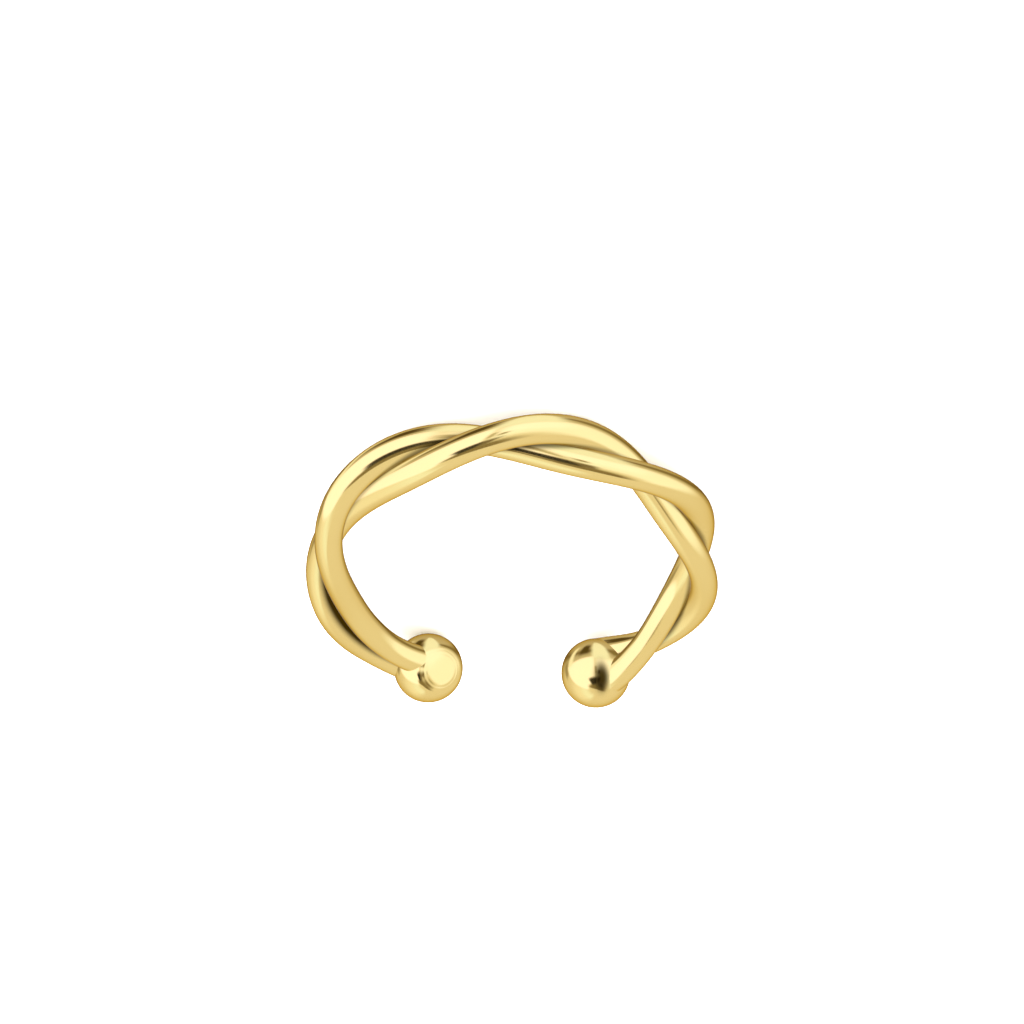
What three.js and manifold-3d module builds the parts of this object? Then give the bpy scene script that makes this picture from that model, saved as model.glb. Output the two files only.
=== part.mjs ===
// A twisted ear cuff: two round wires wound round each other, bent into an open ring,
// with a ball soldered over each end. It is one piece of metal, so it is one solid.
// Millimetres, +Z up. The cuff lies on its side on z = 0, with its gap towards +Y.

import * as THREE from 'three';
import { mergeVertices } from 'three/addons/utils/BufferGeometryUtils.js';
import { ConvexHull } from 'three/addons/math/ConvexHull.js';
import Module from 'manifold-3d';

// Driving dimensions
const ringRadius = 4.85; // centre of the cuff to the middle of the twist
const wireDiameter = 0.74;
const solderOverlap = 0.044; // how far the two wires run into each other
const twistPitch = 9.25; // length of twist in which a wire goes once round
const twistPhase = 15.5; // degrees, at the back: how far the outer wire stands up
const ballDiameter = 1.96;
const gapWidth = 2.78; // clear width between the balls, where the ear's rim goes in

// How the bending by hand left the twist, in even steps from the ball at -X, round the
// back, to the ball at +X. ring is a share of ringRadius and lift of wireDiameter. lead
// is how many degrees the twist runs ahead of its even pitch. At the +X end the twist
// falls far behind it, because there the wires run side by side into the ball.
const bends = [
  { ring: 0.98, lift: 0.4, lead: 5 },
  { ring: 1.01, lift: 0.0, lead: -5 },
  { ring: 0.99, lift: 0.1, lead: -5 },
  { ring: 1.0, lift: 0.0, lead: 0 },
  { ring: 1.04, lift: 0.1, lead: 10 },
  { ring: 0.98, lift: 0.3, lead: 0 },
  { ring: 1.0, lift: -0.15, lead: -165 },
];

// Where the middle of each ball sits, in the same shares: at the -X end the wires come in
// a little above it and inside it
const ballSeats = [
  { end: -1, ring: 1.0, lift: 0.3 },
  { end: 1, ring: 1.0, lift: -0.15 },
];

// Fineness of the faceted surfaces
const wireSides = 16;
const wireSteps = 108;
const ballSides = 28;
const ballRows = 20;
const samePoint = 1e-4; // corners this close together are one corner

// The ring's arc, from the back to the middle of a ball
const halfGap = (gapWidth + ballDiameter) / 2;
const halfArc = Math.PI - Math.asin(halfGap / ringRadius);

// A smooth value between the rows of the bends table, at share -1 to 1 of the arc
function bendAt(column, share) {
  const knots = bends.map((row, index) => new THREE.Vector2(index, row[column]));
  const place = (share + 1) / 2;
  return new THREE.SplineCurve(knots).getPoint(place).y;
}

// A place round the ring, at a share of the arc: 0 is the back, at -Y
function ringPoint(share, ring, lift) {
  const angle = halfArc * share;
  const radius = ringRadius * ring;
  const height = wireDiameter * lift;
  return new THREE.Vector3(radius * Math.sin(angle), -radius * Math.cos(angle), height);
}

// The middle of the twist
function twistCentre(share) {
  return ringPoint(share, bendAt('ring', share), bendAt('lift', share));
}

// One wire's centre line. side is 1 or -1: the wires lie opposite each other.
class TwistedWire extends THREE.Curve {
  constructor(side) {
    super();
    this.offset = (side * (wireDiameter - solderOverlap)) / 2;
  }

  getPoint(along, target = new THREE.Vector3()) {
    const share = 2 * along - 1;
    const angle = halfArc * share;
    const lead = twistPhase + bendAt('lead', share);
    const turn = (2 * Math.PI * ringRadius * angle) / twistPitch + THREE.MathUtils.degToRad(lead);
    const outward = new THREE.Vector3(Math.sin(angle), -Math.cos(angle), 0);
    const upward = new THREE.Vector3(0, 0, 1);
    return target
      .copy(twistCentre(share))
      .addScaledVector(outward, this.offset * Math.cos(turn))
      .addScaledVector(upward, this.offset * Math.sin(turn));
  }
}

function makeWire(side) {
  const section = new THREE.Shape().absarc(0, 0, wireDiameter / 2, 0, 2 * Math.PI);
  return new THREE.ExtrudeGeometry(section, {
    curveSegments: wireSides / 2, // a full circle gets twice this many
    steps: wireSteps,
    extrudePath: new TwistedWire(side),
  });
}

// A ball over one end of the twist
function makeBall(seat) {
  const ball = new THREE.SphereGeometry(ballDiameter / 2, ballSides, ballRows);
  const place = ringPoint(seat.end, seat.ring, seat.lift);
  return ball.translate(place.x, place.y, place.z);
}

// Solids from closed geometries, and back
const wasm = await Module();
wasm.setup();

function toSolid(geometry) {
  const bare = geometry.clone();
  bare.deleteAttribute('normal');
  bare.deleteAttribute('uv');
  const merged = mergeVertices(bare, samePoint);
  const vertProperties = new Float32Array(merged.attributes.position.array);
  const triVerts = new Uint32Array(merged.index.array);
  return new wasm.Manifold(new wasm.Mesh({ numProp: 3, vertProperties, triVerts }));
}

function toGeometry(solid) {
  const mesh = solid.getMesh();
  const geometry = new THREE.BufferGeometry();
  geometry.setAttribute('position', new THREE.BufferAttribute(mesh.vertProperties, 3));
  geometry.setIndex(new THREE.BufferAttribute(mesh.triVerts, 1));
  return geometry;
}

// The flat support under the cuff: the face of its convex hull right below the middle
// of its metal, so the cuff can rest on the three points that touch the table.
function supportNormal(geometry, centre) {
  const places = geometry.attributes.position;
  const points = [];
  for (let index = 0; index < places.count; index += 1) {
    points.push(new THREE.Vector3().fromBufferAttribute(places, index));
  }
  const hull = new ConvexHull().setFromPoints(points);
  const plumb = new THREE.Ray(centre, new THREE.Vector3(0, 0, -1));
  const under = hull.faces.find((face) => {
    const corners = [face.edge.head().point, face.edge.tail().point, face.edge.next.head().point];
    return face.normal.z < 0 && plumb.intersectTriangle(...corners, false, new THREE.Vector3());
  });
  return under.normal.clone();
}

// The middle of the metal, from the volume between each face and the origin
function metalCentre(geometry) {
  const places = geometry.attributes.position;
  const order = geometry.index.array;
  const sum = new THREE.Vector3();
  let volume = 0;
  for (let first = 0; first < order.length; first += 3) {
    const corners = [order[first], order[first + 1], order[first + 2]];
    const [a, b, c] = corners.map((index) => new THREE.Vector3().fromBufferAttribute(places, index));
    const part = a.dot(b.clone().cross(c)) / 6;
    sum.addScaledVector(a.add(b).add(c), part / 4);
    volume += part;
  }
  return sum.divideScalar(volume);
}

// Turns the cuff on to its three lowest points and stands it on z = 0, centred
function layDown(geometry) {
  const down = new THREE.Vector3(0, 0, -1);
  const normal = supportNormal(geometry, metalCentre(geometry));
  geometry.applyQuaternion(new THREE.Quaternion().setFromUnitVectors(normal, down));
  geometry.computeBoundingBox();
  const { min, max } = geometry.boundingBox;
  return geometry.translate(-(min.x + max.x) / 2, -(min.y + max.y) / 2, -min.z);
}

function makeCuff() {
  const pieces = [makeWire(1), makeWire(-1), ...ballSeats.map(makeBall)].map(toSolid);
  const joined = pieces.reduce((whole, piece) => whole.add(piece));
  return layDown(toGeometry(joined));
}

const polish = 0.16; // roughness of a buffed surface

// A named node with its own finish
function makeNode(name, geometry, color) {
  const finish = new THREE.MeshStandardMaterial({ color, metalness: 1, roughness: polish });
  const mesh = new THREE.Mesh(geometry, finish);
  mesh.name = name;
  return mesh;
}

const palePolishedGold = '#f0d584';

const earCuff = new THREE.Group();
earCuff.add(makeNode('twisted_cuff', makeCuff(), palePolishedGold));

export default earCuff;
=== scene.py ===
# %% [markdown]
# # A twisted ear cuff in polished gold
# This lesson dresses a finished construction model, the frame, in the surface of the real
# thing. The cuff is two round wires wound round each other and bent into an open ring, with
# a ball soldered over each end. Every length below is in metres.

# %% Load the frame
import math

import bpy
from mathutils import Euler, Matrix, Vector


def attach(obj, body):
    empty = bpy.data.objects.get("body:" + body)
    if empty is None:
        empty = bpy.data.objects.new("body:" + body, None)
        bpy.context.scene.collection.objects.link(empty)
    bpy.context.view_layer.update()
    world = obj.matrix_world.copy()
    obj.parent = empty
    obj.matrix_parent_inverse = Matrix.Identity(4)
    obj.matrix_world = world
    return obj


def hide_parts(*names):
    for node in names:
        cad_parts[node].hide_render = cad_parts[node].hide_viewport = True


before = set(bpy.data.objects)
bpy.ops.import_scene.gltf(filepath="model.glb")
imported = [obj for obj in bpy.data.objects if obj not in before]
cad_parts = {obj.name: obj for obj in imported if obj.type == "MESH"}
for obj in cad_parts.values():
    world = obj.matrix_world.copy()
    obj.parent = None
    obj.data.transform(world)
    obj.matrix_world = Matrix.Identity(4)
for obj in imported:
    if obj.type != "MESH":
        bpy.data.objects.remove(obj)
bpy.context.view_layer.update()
bpy.ops.object.select_all(action="DESELECT")
MM = 0.001

# %% [markdown]
# ## The sizes of the cuff
# A jeweller works from the gauge of the wire, the pitch of the twist and the width across
# the ring. The bending by hand leaves small swings in and out, up and down, and in how tight
# the twist is. They are listed in even steps from one ball round the back to the other, and
# a smooth curve runs through them.

# %% Sizes
RING_RADIUS = 4.85 * MM
WIRE_DIAMETER = 0.74 * MM
SOLDER_OVERLAP = 0.044 * MM
TWIST_PITCH = 9.25 * MM
TWIST_PHASE = math.radians(15.5)
BALL_DIAMETER = 1.96 * MM
GAP_WIDTH = 2.78 * MM

RING_SHARES = (0.98, 1.01, 0.99, 1.0, 1.04, 0.98, 1.0)
LIFT_SHARES = (0.4, 0.0, 0.1, 0.0, 0.1, 0.3, -0.15)
LEAD_DEGREES = (5, -5, -5, 0, 10, 0, -165)

HALF_ARC = math.pi - math.asin((GAP_WIDTH + BALL_DIAMETER) / 2 / RING_RADIUS)
WIRE_OFFSET = (WIRE_DIAMETER - SOLDER_OVERLAP) / 2
print("half the ring's arc in degrees:", round(math.degrees(HALF_ARC), 1))

# %% A smooth value between the steps
def between_steps(values, share):
    """The value at share -1 to 1 of the arc, on a Catmull-Rom curve through the steps."""
    place = (share + 1) / 2 * (len(values) - 1)
    step = min(max(int(place), 0), len(values) - 2)
    weight = place - step
    before = values[max(step - 1, 0)]
    here = values[step]
    there = values[step + 1]
    after = values[min(step + 2, len(values) - 1)]
    leaving = (there - before) / 2
    arriving = (after - here) / 2
    cubic = 2 * here - 2 * there + leaving + arriving
    square = -3 * here + 3 * there - 2 * leaving - arriving
    return ((cubic * weight + square) * weight + leaving) * weight + here


def within(value):
    """The value, held between 0 and 1."""
    return min(max(value, 0), 1)


def eased(value):
    """From 0 to 1 with a soft start and a soft end."""
    return value * value * (3 - 2 * value)

# %% Directions and places round the ring
UP = Vector((0, 0, 1))


def outward(share):
    """The level direction from the ring's middle to a place on it; the back is at -Y."""
    angle = HALF_ARC * share
    return Vector((math.sin(angle), -math.cos(angle), 0))


def ring_point(share, ring, lift):
    return outward(share) * (RING_RADIUS * ring) + UP * (WIRE_DIAMETER * lift)


def twist_centre(share):
    """The middle of the twist, between its two wires."""
    return ring_point(share, between_steps(RING_SHARES, share), between_steps(LIFT_SHARES, share))


# %% Where the balls sit
BALL_SEATS = {-1: ring_point(-1, 1.0, 0.3), 1: ring_point(1, 1.0, -0.15)}

for end, seat in BALL_SEATS.items():
    print("middle of a ball in mm:", [round(value / MM, 2) for value in seat])

# %% [markdown]
# ## The outline of the twisted pair
# Cut across, the pair is a figure of eight: two round wires that touch, with solder drawn
# into the creases. Two tubes pushed into each other would leave a jagged seam on a polished
# surface, so the outline is drawn as one: a circle is cut at the middle plane with Bisect,
# mirrored, and its two inner corners are rounded with a vertex bevel.

# %% Outline of the pair
WIRE_SIDES = 64
CREASE_BEVEL = 0.055 * MM
CREASE_STEPS = 8
ON_THE_PLANE = 0.001 * MM
SAME_POINT = 0.0005 * MM


def select_vertices(mesh, chosen):
    """Selects by place, from object mode, and leaves edit mode on."""
    bpy.ops.object.mode_set(mode="EDIT")
    bpy.ops.mesh.select_mode(type="VERT")
    bpy.ops.mesh.select_all(action="DESELECT")
    bpy.ops.object.mode_set(mode="OBJECT")
    for vertex in mesh.vertices:
        vertex.select = chosen(vertex.co)
    bpy.ops.object.mode_set(mode="EDIT")


def apply_all(piece):
    for modifier in list(piece.modifiers):
        bpy.ops.object.modifier_apply(modifier=modifier.name)


bpy.ops.mesh.primitive_circle_add(
    vertices=WIRE_SIDES, radius=WIRE_DIAMETER / 2, location=(WIRE_OFFSET, 0, 0)
)
cuff = bpy.context.object
cuff.name = "gold_cuff"
bpy.ops.object.transform_apply(location=True, rotation=True, scale=True)
bpy.ops.object.mode_set(mode="EDIT")
bpy.ops.mesh.select_all(action="SELECT")
bpy.ops.mesh.bisect(
    plane_co=(0, 0, 0), plane_no=(1, 0, 0), clear_inner=True, threshold=ON_THE_PLANE
)
bpy.ops.object.mode_set(mode="OBJECT")
mirror = cuff.modifiers.new("other wire", "MIRROR")
mirror.merge_threshold = SAME_POINT
apply_all(cuff)
select_vertices(cuff.data, lambda co: abs(co.x) < ON_THE_PLANE)
bpy.ops.mesh.bevel(offset=CREASE_BEVEL, segments=CREASE_STEPS, affect="VERTICES")
bpy.ops.object.mode_set(mode="OBJECT")
print("points in the outline:", len(cuff.data.vertices))

# %% [markdown]
# ## Twisting it
# The Screw modifier draws the outline along its axis while turning it, which is just what
# a pair of pliers does to two wires. It makes clean rows of faces that follow the twist, so
# the polish shows no ripple. The ends are closed, because they disappear inside the balls.

# %% Twist the pair
TWIST_STEPS = 540
TURNS = 2 * HALF_ARC * RING_RADIUS / TWIST_PITCH

screw = cuff.modifiers.new("twist", "SCREW")
screw.axis = "Z"
screw.angle = TURNS * 2 * math.pi
screw.screw_offset = 2 * HALF_ARC * RING_RADIUS
screw.steps = TWIST_STEPS
screw.render_steps = TWIST_STEPS
screw.use_merge_vertices = False
apply_all(cuff)
bpy.ops.object.mode_set(mode="EDIT")
bpy.ops.mesh.select_mode(type="EDGE")
bpy.ops.mesh.select_all(action="DESELECT")
bpy.ops.mesh.select_non_manifold()
bpy.ops.mesh.fill_holes(sides=0)
bpy.ops.mesh.select_all(action="SELECT")
bpy.ops.mesh.normals_make_consistent(inside=False)
bpy.ops.object.mode_set(mode="OBJECT")
length = max(vertex.co.z for vertex in cuff.data.vertices)
print("turns of even twist:", round(TURNS, 2), "length in mm:", round(length / MM, 2))

# %% [markdown]
# ## Painted shade in the creases
# The creases are dark in places. That darkness is painted shade: the dark reflections and shade
# that gather at the bottom of a crease are put into the gold's colour. It is stored on the mesh
# as
# an attribute: darkest at the bottom and gone a short way up the wires. How much there is varies
# along the ring, and is listed in even steps as the bends are.

# %% Painted shade in the creases
# How much painted shade the creases get, in even steps along the ring.
PAINTED_SHADE_SHARES = (0.1, 0.55, 0.4, 0.45, 0.2, 0.35, 0.6, 0.5, 0.3, 0.35, 0.9, 0.6, 0.2)
CREASE_BOTTOM = 0.16 * MM
CREASE_TOP = 0.46 * MM
LEAST_PAINTED_SHADE = 0.05
PAINTED_SHADE_DEPTH = 1.6


def shade_in_crease(point, amount):
    """Painted shade: dark at the bottom of a crease, 0 where the wires stand clear of it."""
    from_axis = math.hypot(point.x, point.y)
    reach = (CREASE_TOP - CREASE_BOTTOM) * amount
    rise = within((from_axis - CREASE_BOTTOM) / reach)
    return min(PAINTED_SHADE_DEPTH * amount * (1 - eased(rise)), 1)


# The painted shade is kept on the mesh, one value per point.
painted_shade = cuff.data.attributes.new("painted_shade", "FLOAT", "POINT")
for vertex, mark in zip(cuff.data.vertices, painted_shade.data):
    amount = between_steps(PAINTED_SHADE_SHARES, 2 * vertex.co.z / length - 1)
    mark.value = shade_in_crease(vertex.co, max(amount, LEAST_PAINTED_SHADE))
print("darkest mark:", round(max(mark.value for mark in painted_shade.data), 2))

# %% [markdown]
# ## Bending it round
# A Simple Deform bend would give a perfect circle. The real ring was bent by hand, so each
# point is carried from the straight twist to its place on the listed curve. The section
# turns a little ahead or back where the twist is uneven, and widens close to the balls, where
# solder has run along the wires.

# %% Bend the twist into the ring
FIRST_TURN = TWIST_PHASE - HALF_ARC * RING_RADIUS * 2 * math.pi / TWIST_PITCH
FLARE_START = 0.84
FLARE = 0.12
WEB_FLARE = 0.36


def flare(point, share):
    """How much wider a wire is close to a ball. The lower one at the -X end spreads most."""
    near_end = within((abs(share) - FLARE_START) / (1 - FLARE_START))
    on_lower_wire = within(point.x / WIRE_OFFSET)
    most = FLARE if share > 0 else FLARE + (WEB_FLARE - FLARE) * on_lower_wire
    return 1 + most * eased(near_end)


def bent(point):
    """From the straight twist, which runs along Z, to the ring."""
    share = 2 * point.z / length - 1
    turn = FIRST_TURN + math.radians(between_steps(LEAD_DEGREES, share))
    wider = flare(point, share)
    out = (point.x * math.cos(turn) - point.y * math.sin(turn)) * wider
    rise = (point.x * math.sin(turn) + point.y * math.cos(turn)) * wider
    return twist_centre(share) + outward(share) * out + UP * rise


for vertex in cuff.data.vertices:
    vertex.co = bent(vertex.co)
cuff.data.update()
print("ring across in mm:", round(cuff.dimensions.x / MM, 2))

# %% [markdown]
# ## The balls
# Each end wears a ball that was melted on. An icosphere has no poles, so its highlight stays
# round from every side. One ball has a small flat with a groove round it, pressed while the
# metal was soft. The boolean joins ball and twist into one body of metal, as solder does, and
# leaves the fine clean line that is seen on the real thing.

# %% A ball
BALL_FINENESS = 6
BALL_RADIUS = BALL_DIAMETER / 2
FLAT_END = 1
FLAT_FACE = Vector((-0.46, -0.65, 0.61)).normalized()
FLAT_REACH = math.radians(33)
FLAT_PRESS = 0.8
RIM_GROOVE = 0.04
RIM_WIDTH = math.radians(7.5)


def pressed(direction):
    """A point of the ball of radius 1, moved towards the flat and into the flat's rim."""
    away = direction.angle(FLAT_FACE)
    rim = direction * RIM_GROOVE * math.exp(-(((away - FLAT_REACH) / RIM_WIDTH) ** 2))
    if away < FLAT_REACH:
        depth = (math.cos(away) - math.cos(FLAT_REACH)) * FLAT_PRESS
        return direction - FLAT_FACE * depth - rim
    return direction - rim


def make_ball(end):
    seat = BALL_SEATS[end]
    bpy.ops.mesh.primitive_ico_sphere_add(
        subdivisions=BALL_FINENESS, radius=BALL_RADIUS, location=seat
    )
    ball = bpy.context.object
    bpy.ops.object.transform_apply(location=True, rotation=True, scale=True)
    if end == FLAT_END:
        for vertex in ball.data.vertices:
            direction = (vertex.co - seat).normalized()
            vertex.co = seat + pressed(direction) * BALL_RADIUS
    return ball


# %% Balls joined to the twist
def join_ball(end):
    ball = make_ball(end)
    union = cuff.modifiers.new("solder", "BOOLEAN")
    union.operation = "UNION"
    union.solver = "EXACT"
    union.object = ball
    bpy.context.view_layer.objects.active = cuff
    apply_all(cuff)
    bpy.data.objects.remove(ball)


for end in (-1, 1):
    join_ball(end)
print("faces after joining:", len(cuff.data.polygons))

# %% [markdown]
# The boolean carries a little of the painted crease shade over to the balls, so it is cleared
# there. Beside the seam of the ball at -X is a dark patch, longer than it is wide. It is painted
# shade too, put into the colour of the ball beside the seam.

# %% Painted shade on the balls
ON_A_BALL = 1.0005
SHADE_PATCH = Vector((-0.08, -0.71, 0.68)).normalized()
SHADE_PATCH_ALONG = Vector((-0.02, 0.69, 0.72)).normalized()
SHADE_PATCH_ACROSS = SHADE_PATCH.cross(SHADE_PATCH_ALONG)
SHADE_PATCH_LENGTH = 0.44
SHADE_PATCH_WIDTH = 0.22


def shade_patch(end, direction):
    """The painted shade in a direction from a ball's middle: 1 in the middle of the patch."""
    if end == FLAT_END or direction.dot(SHADE_PATCH) < 0:
        return 0
    along = direction.dot(SHADE_PATCH_ALONG) / SHADE_PATCH_LENGTH
    across = direction.dot(SHADE_PATCH_ACROSS) / SHADE_PATCH_WIDTH
    return math.exp(-(along * along + across * across) ** 2)


# On the balls the painted shade is only the patch beside the seam of the ball at -X.
painted_shade = cuff.data.attributes["painted_shade"]
for vertex, mark in zip(cuff.data.vertices, painted_shade.data):
    for end, seat in BALL_SEATS.items():
        from_seat = vertex.co - seat
        if from_seat.length < BALL_RADIUS * ON_A_BALL:
            mark.value = shade_patch(end, from_seat.normalized())
print("marked points:", sum(mark.value > 0 for mark in painted_shade.data))

# %% [markdown]
# ## Laying it down
# By itself the ring lies a little aslant, on the ball that hangs lowest and on two places of
# the twist. The turn below puts it there. Then it is centred and set on the floor.

# %% Lay the cuff on its side
SMOOTH_UP_TO = math.radians(32)
REST_TILT = Euler((math.radians(1.846), math.radians(-1.791), math.radians(-0.029)))

tilt = REST_TILT.to_matrix().to_4x4()
tilted = [tilt @ vertex.co for vertex in cuff.data.vertices]
low = Vector(min(co[axis] for co in tilted) for axis in range(3))
high = Vector(max(co[axis] for co in tilted) for axis in range(3))
laid = Matrix.Translation((-(low.x + high.x) / 2, -(low.y + high.y) / 2, -low.z)) @ tilt
cuff.data.transform(laid)
cuff.data.update()
bpy.ops.object.select_all(action="DESELECT")
cuff.select_set(True)
bpy.context.view_layer.objects.active = cuff
bpy.ops.object.shade_smooth_by_angle(angle=SMOOTH_UP_TO)
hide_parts("twisted_cuff")
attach(cuff, "root")
print("cuff box in mm:", [round(side / MM, 2) for side in high - low])

# %% [markdown]
# ## Polished gold
# The finish is a pale yellow gold plate, buffed to a mirror. A metal has no colour but the
# tint that it gives to what it reflects, so the base colour is that tint, and a deeper one
# darkens the edges. The buffing shows as a faint unevenness in gloss and as fine scratches.

# %% Values of the gold
TINT_DEEP = (0.94, 0.75, 0.32, 1)
TINT_PALE = (0.96, 0.775, 0.345, 1)
EDGE_TINT = (0.7, 0.5, 0.22, 1)
# The colour of the painted shade in the creases and beside one ball's seam.
PAINTED_SHADE_COLOUR = (0.05, 0.03, 0.005, 1)
CLOUD_SCALE = 600
SMOOTHEST = 0.06
ROUGHEST = 0.12
SCRATCH_SCALE = 9000
SCRATCH_DETAIL = 3
SCRATCH_STRENGTH = 0.25
SCRATCH_DEPTH = 0.001 * MM
print("roughness of the gold:", SMOOTHEST, "to", ROUGHEST)

# %% Gold
def polished_gold():
    material = bpy.data.materials.new("polished pale gold")
    material.use_nodes = True
    nodes = material.node_tree.nodes
    link = material.node_tree.links.new
    shader = nodes["Principled BSDF"]
    shader.inputs["Metallic"].default_value = 1.0
    shader.inputs["Specular Tint"].default_value = EDGE_TINT
    place = nodes.new("ShaderNodeTexCoord")
    clouds = nodes.new("ShaderNodeTexNoise")
    clouds.inputs["Scale"].default_value = CLOUD_SCALE
    link(place.outputs["Object"], clouds.inputs["Vector"])
    tint = nodes.new("ShaderNodeValToRGB")
    tint.color_ramp.elements[0].color = TINT_DEEP
    tint.color_ramp.elements[1].color = TINT_PALE
    link(clouds.outputs["Fac"], tint.inputs["Fac"])
    # The painted shade attribute darkens the base colour in the creases and beside one ball's
    # seam.
    crease = nodes.new("ShaderNodeAttribute")
    crease.attribute_name = "painted_shade"
    darkened = nodes.new("ShaderNodeMix")
    darkened.data_type = "RGBA"
    link(crease.outputs["Fac"], darkened.inputs["Factor"])
    link(tint.outputs["Color"], darkened.inputs["A"])
    darkened.inputs["B"].default_value = PAINTED_SHADE_COLOUR
    link(darkened.outputs["Result"], shader.inputs["Base Color"])
    gloss = nodes.new("ShaderNodeMapRange")
    gloss.inputs["To Min"].default_value = SMOOTHEST
    gloss.inputs["To Max"].default_value = ROUGHEST
    link(clouds.outputs["Fac"], gloss.inputs["Value"])
    link(gloss.outputs["Result"], shader.inputs["Roughness"])
    scratches = nodes.new("ShaderNodeTexNoise")
    scratches.inputs["Scale"].default_value = SCRATCH_SCALE
    scratches.inputs["Detail"].default_value = SCRATCH_DETAIL
    link(place.outputs["Object"], scratches.inputs["Vector"])
    relief = nodes.new("ShaderNodeBump")
    relief.inputs["Strength"].default_value = SCRATCH_STRENGTH
    relief.inputs["Distance"].default_value = SCRATCH_DEPTH
    link(scratches.outputs["Fac"], relief.inputs["Height"])
    link(relief.outputs["Normal"], shader.inputs["Normal"])
    return material


cuff.data.materials.clear()
cuff.data.materials.append(polished_gold())
cuff.visible_glossy = False
print("materials:", [material.name for material in cuff.data.materials])

# %% [markdown]
# ## The camera
# The photograph looks down at the ring from the side away from its gap, and is turned
# almost upside down, so that the gap is at the bottom of the picture.

# %% Camera
VIEW_AZIMUTH = math.radians(2.59)
VIEW_ELEVATION = math.radians(43)
VIEW_ROLL = math.radians(176.94)
VIEW_DISTANCE = RING_RADIUS / 0.12
LENS = 53.86
SENSOR = 36
NEAREST_SEEN = 1 * MM
LOOK_RIGHT = 0.036 * MM
LOOK_UP = -1.568 * MM

towards = Vector(
    (
        math.sin(VIEW_AZIMUTH) * math.cos(VIEW_ELEVATION),
        -math.cos(VIEW_AZIMUTH) * math.cos(VIEW_ELEVATION),
        math.sin(VIEW_ELEVATION),
    )
)
level = Vector((math.cos(VIEW_AZIMUTH), math.sin(VIEW_AZIMUTH), 0))
steep = towards.cross(level)
right = level * math.cos(VIEW_ROLL) + steep * math.sin(VIEW_ROLL)
above = steep * math.cos(VIEW_ROLL) - level * math.sin(VIEW_ROLL)
stand = towards * VIEW_DISTANCE - right * LOOK_RIGHT - above * LOOK_UP
bpy.ops.object.camera_add()
camera = bpy.context.object
turned = Matrix((right, above, towards)).transposed().to_4x4()
camera.matrix_world = laid @ Matrix.Translation(stand) @ turned
camera.data.sensor_width = SENSOR
camera.data.lens = LENS
camera.data.clip_start = NEAREST_SEEN
bpy.context.scene.camera = camera
print("camera at, in mm:", [round(value / MM, 1) for value in camera.location])

# %% [markdown]
# ## Floor and light
# A plain white floor, and a bright tent of painted cards. The floor and the cuff itself are
# left out of the reflections, so the metal shows only the tent. The floor and the camera see
# an even white light instead of the cards. Real metal would mirror its own wires as well.

# %% Floor
FLOOR_SIZE = 600 * MM
PAPER_WHITE = (0.93, 0.93, 0.93, 1)
PAPER_ROUGHNESS = 0.9

bpy.ops.mesh.primitive_plane_add(size=FLOOR_SIZE, location=(0, 0, 0))
floor = bpy.context.object
floor.name = "floor"
floor.visible_glossy = False
paper = bpy.data.materials.new("white paper")
paper.use_nodes = True
matt = paper.node_tree.nodes["Principled BSDF"]
matt.inputs["Base Color"].default_value = PAPER_WHITE
matt.inputs["Roughness"].default_value = PAPER_ROUGHNESS
floor.data.materials.append(paper)
print("floor across in mm:", round(FLOOR_SIZE / MM))

# %% Nodes for the tent of light
world = bpy.context.scene.world or bpy.data.worlds.new("tent")
bpy.context.scene.world = world
world.use_nodes = True
nodes = world.node_tree.nodes
link = world.node_tree.links.new
nodes.clear()
bpy.context.scene.view_settings.view_transform = "Standard"


def sum_node(operation, *values):
    """A Math node; each value is a number or another node's output."""
    node = nodes.new("ShaderNodeMath")
    node.operation = operation
    for socket, value in zip(node.inputs, values):
        if isinstance(value, (int, float)):
            socket.default_value = value
        else:
            link(value, socket)
    return node.outputs[0]


direction = nodes.new("ShaderNodeTexCoord").outputs["Generated"]
split = nodes.new("ShaderNodeSeparateXYZ")
link(direction, split.inputs[0])
backward = sum_node("MULTIPLY", split.outputs[1], -1)
around = sum_node("DEGREES", sum_node("ARCTAN2", split.outputs[0], backward))
height = sum_node("DEGREES", sum_node("ARCSINE", split.outputs[2]))


def inside(value, middle, half, edge):
    """1 within half of the middle, falling smoothly to 0 over the edge's width."""
    away = sum_node("ABSOLUTE", sum_node("SUBTRACT", value, middle))
    ramp = nodes.new("ShaderNodeMapRange")
    ramp.interpolation_type = "SMOOTHSTEP"
    ramp.inputs["From Min"].default_value = half + edge / 2
    ramp.inputs["From Max"].default_value = half - edge / 2
    link(away, ramp.inputs["Value"])
    return ramp.outputs["Result"]


# %% Cards
def hang_card(under, card):
    """Paints one card of the tent over what is already there."""
    azimuth, elevation, half_width, half_height, edge, colour = card
    mask = sum_node(
        "MULTIPLY",
        inside(around, azimuth, half_width, edge),
        inside(height, elevation, half_height, edge),
    )
    mix = nodes.new("ShaderNodeMix")
    mix.data_type = "RGBA"
    link(mask, mix.inputs["Factor"])
    link(under, mix.inputs["A"])
    mix.inputs["B"].default_value = (*colour, 1)
    return mix.outputs["Result"]


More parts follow.
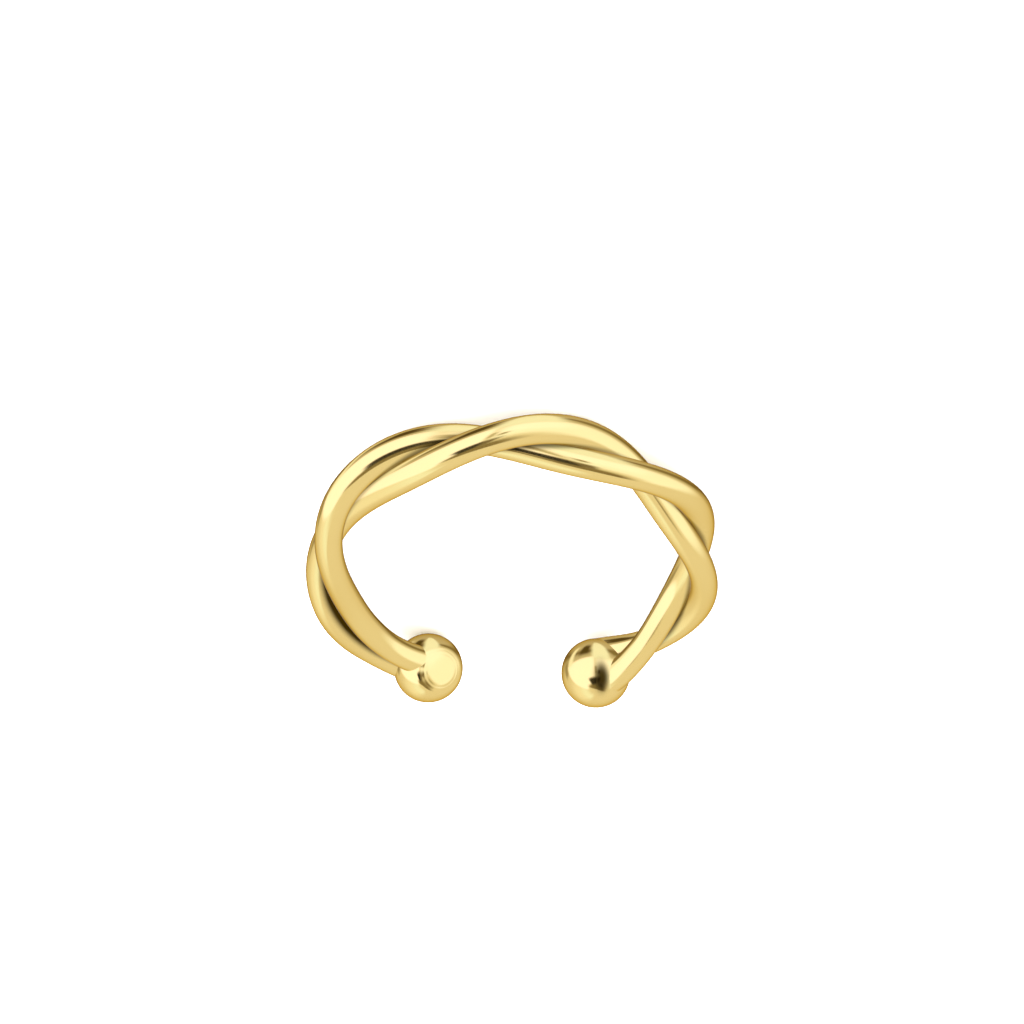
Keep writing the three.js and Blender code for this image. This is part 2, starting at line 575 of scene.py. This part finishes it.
WARM_WALL = (0.84, 0.78, 0.66)
CARDS = (
    # azimuth, elevation, half width, half height, edge, colour
    (0, -60, 200, 38, 20, (0.6, 0.54, 0.44)),
    (0, -46, 200, 6, 16, (0.22, 0.17, 0.08)),
    (125, 35, 36, 16, 30, (0.98, 0.96, 0.88)),
    (125, 55, 40, 12, 20, (1.0, 1.08, 1.08)),
    (-52, 18, 50, 34, 22, (1.12, 1.18, 1.28)),
    (-25, 8, 28, 22, 24, (1.25, 1.27, 1.48)),
    (55, 22, 47, 44, 8, (1.32, 1.29, 1.5)),
    (90, -40, 10, 22, 14, (1.1, 1.12, 1.15)),
    (-14, -50, 28, 36, 18, (1.02, 1.1, 1.16)),
    (42, -54, 18, 18, 18, (0.1, 0.07, 0.02)),
    (-85, -42, 30, 8, 14, (0.26, 0.21, 0.1)),
    (112, -20, 8, 14, 12, (0.4, 0.35, 0.25)),
    (-20, 82, 100, 16, 16, (0.24, 0.19, 0.09)),
    (12, 60, 30, 12, 14, (0.2, 0.16, 0.09)),
    (23, 60, 19, 11, 12, (0.03, 0.022, 0.01)),
    (-8, 31, 4, 6, 7, (0.35, 0.28, 0.15)),
    (4, 24, 3, 12, 7, (0.5, 0.43, 0.3)),
)

wall = nodes.new("ShaderNodeRGB").outputs[0]
wall.default_value = (*WARM_WALL, 1)
tent = wall
for card in CARDS:
    tent = hang_card(tent, card)
print("cards in the tent:", len(CARDS))

# %% Tent for reflections, even white light for the floor
EVEN_LIGHT = 3.2
PLAIN_WHITE = (1, 1, 1, 1)

reflected = nodes.new("ShaderNodeBackground")
link(tent, reflected.inputs["Color"])
even = nodes.new("ShaderNodeBackground")
even.inputs["Color"].default_value = PLAIN_WHITE
even.inputs["Strength"].default_value = EVEN_LIGHT
either = nodes.new("ShaderNodeMixShader")
link(nodes.new("ShaderNodeLightPath").outputs["Is Glossy Ray"], either.inputs[0])
link(even.outputs[0], either.inputs[1])
link(reflected.outputs[0], either.inputs[2])
link(either.outputs[0], nodes.new("ShaderNodeOutputWorld").inputs["Surface"])
print("even light on the floor:", EVEN_LIGHT)
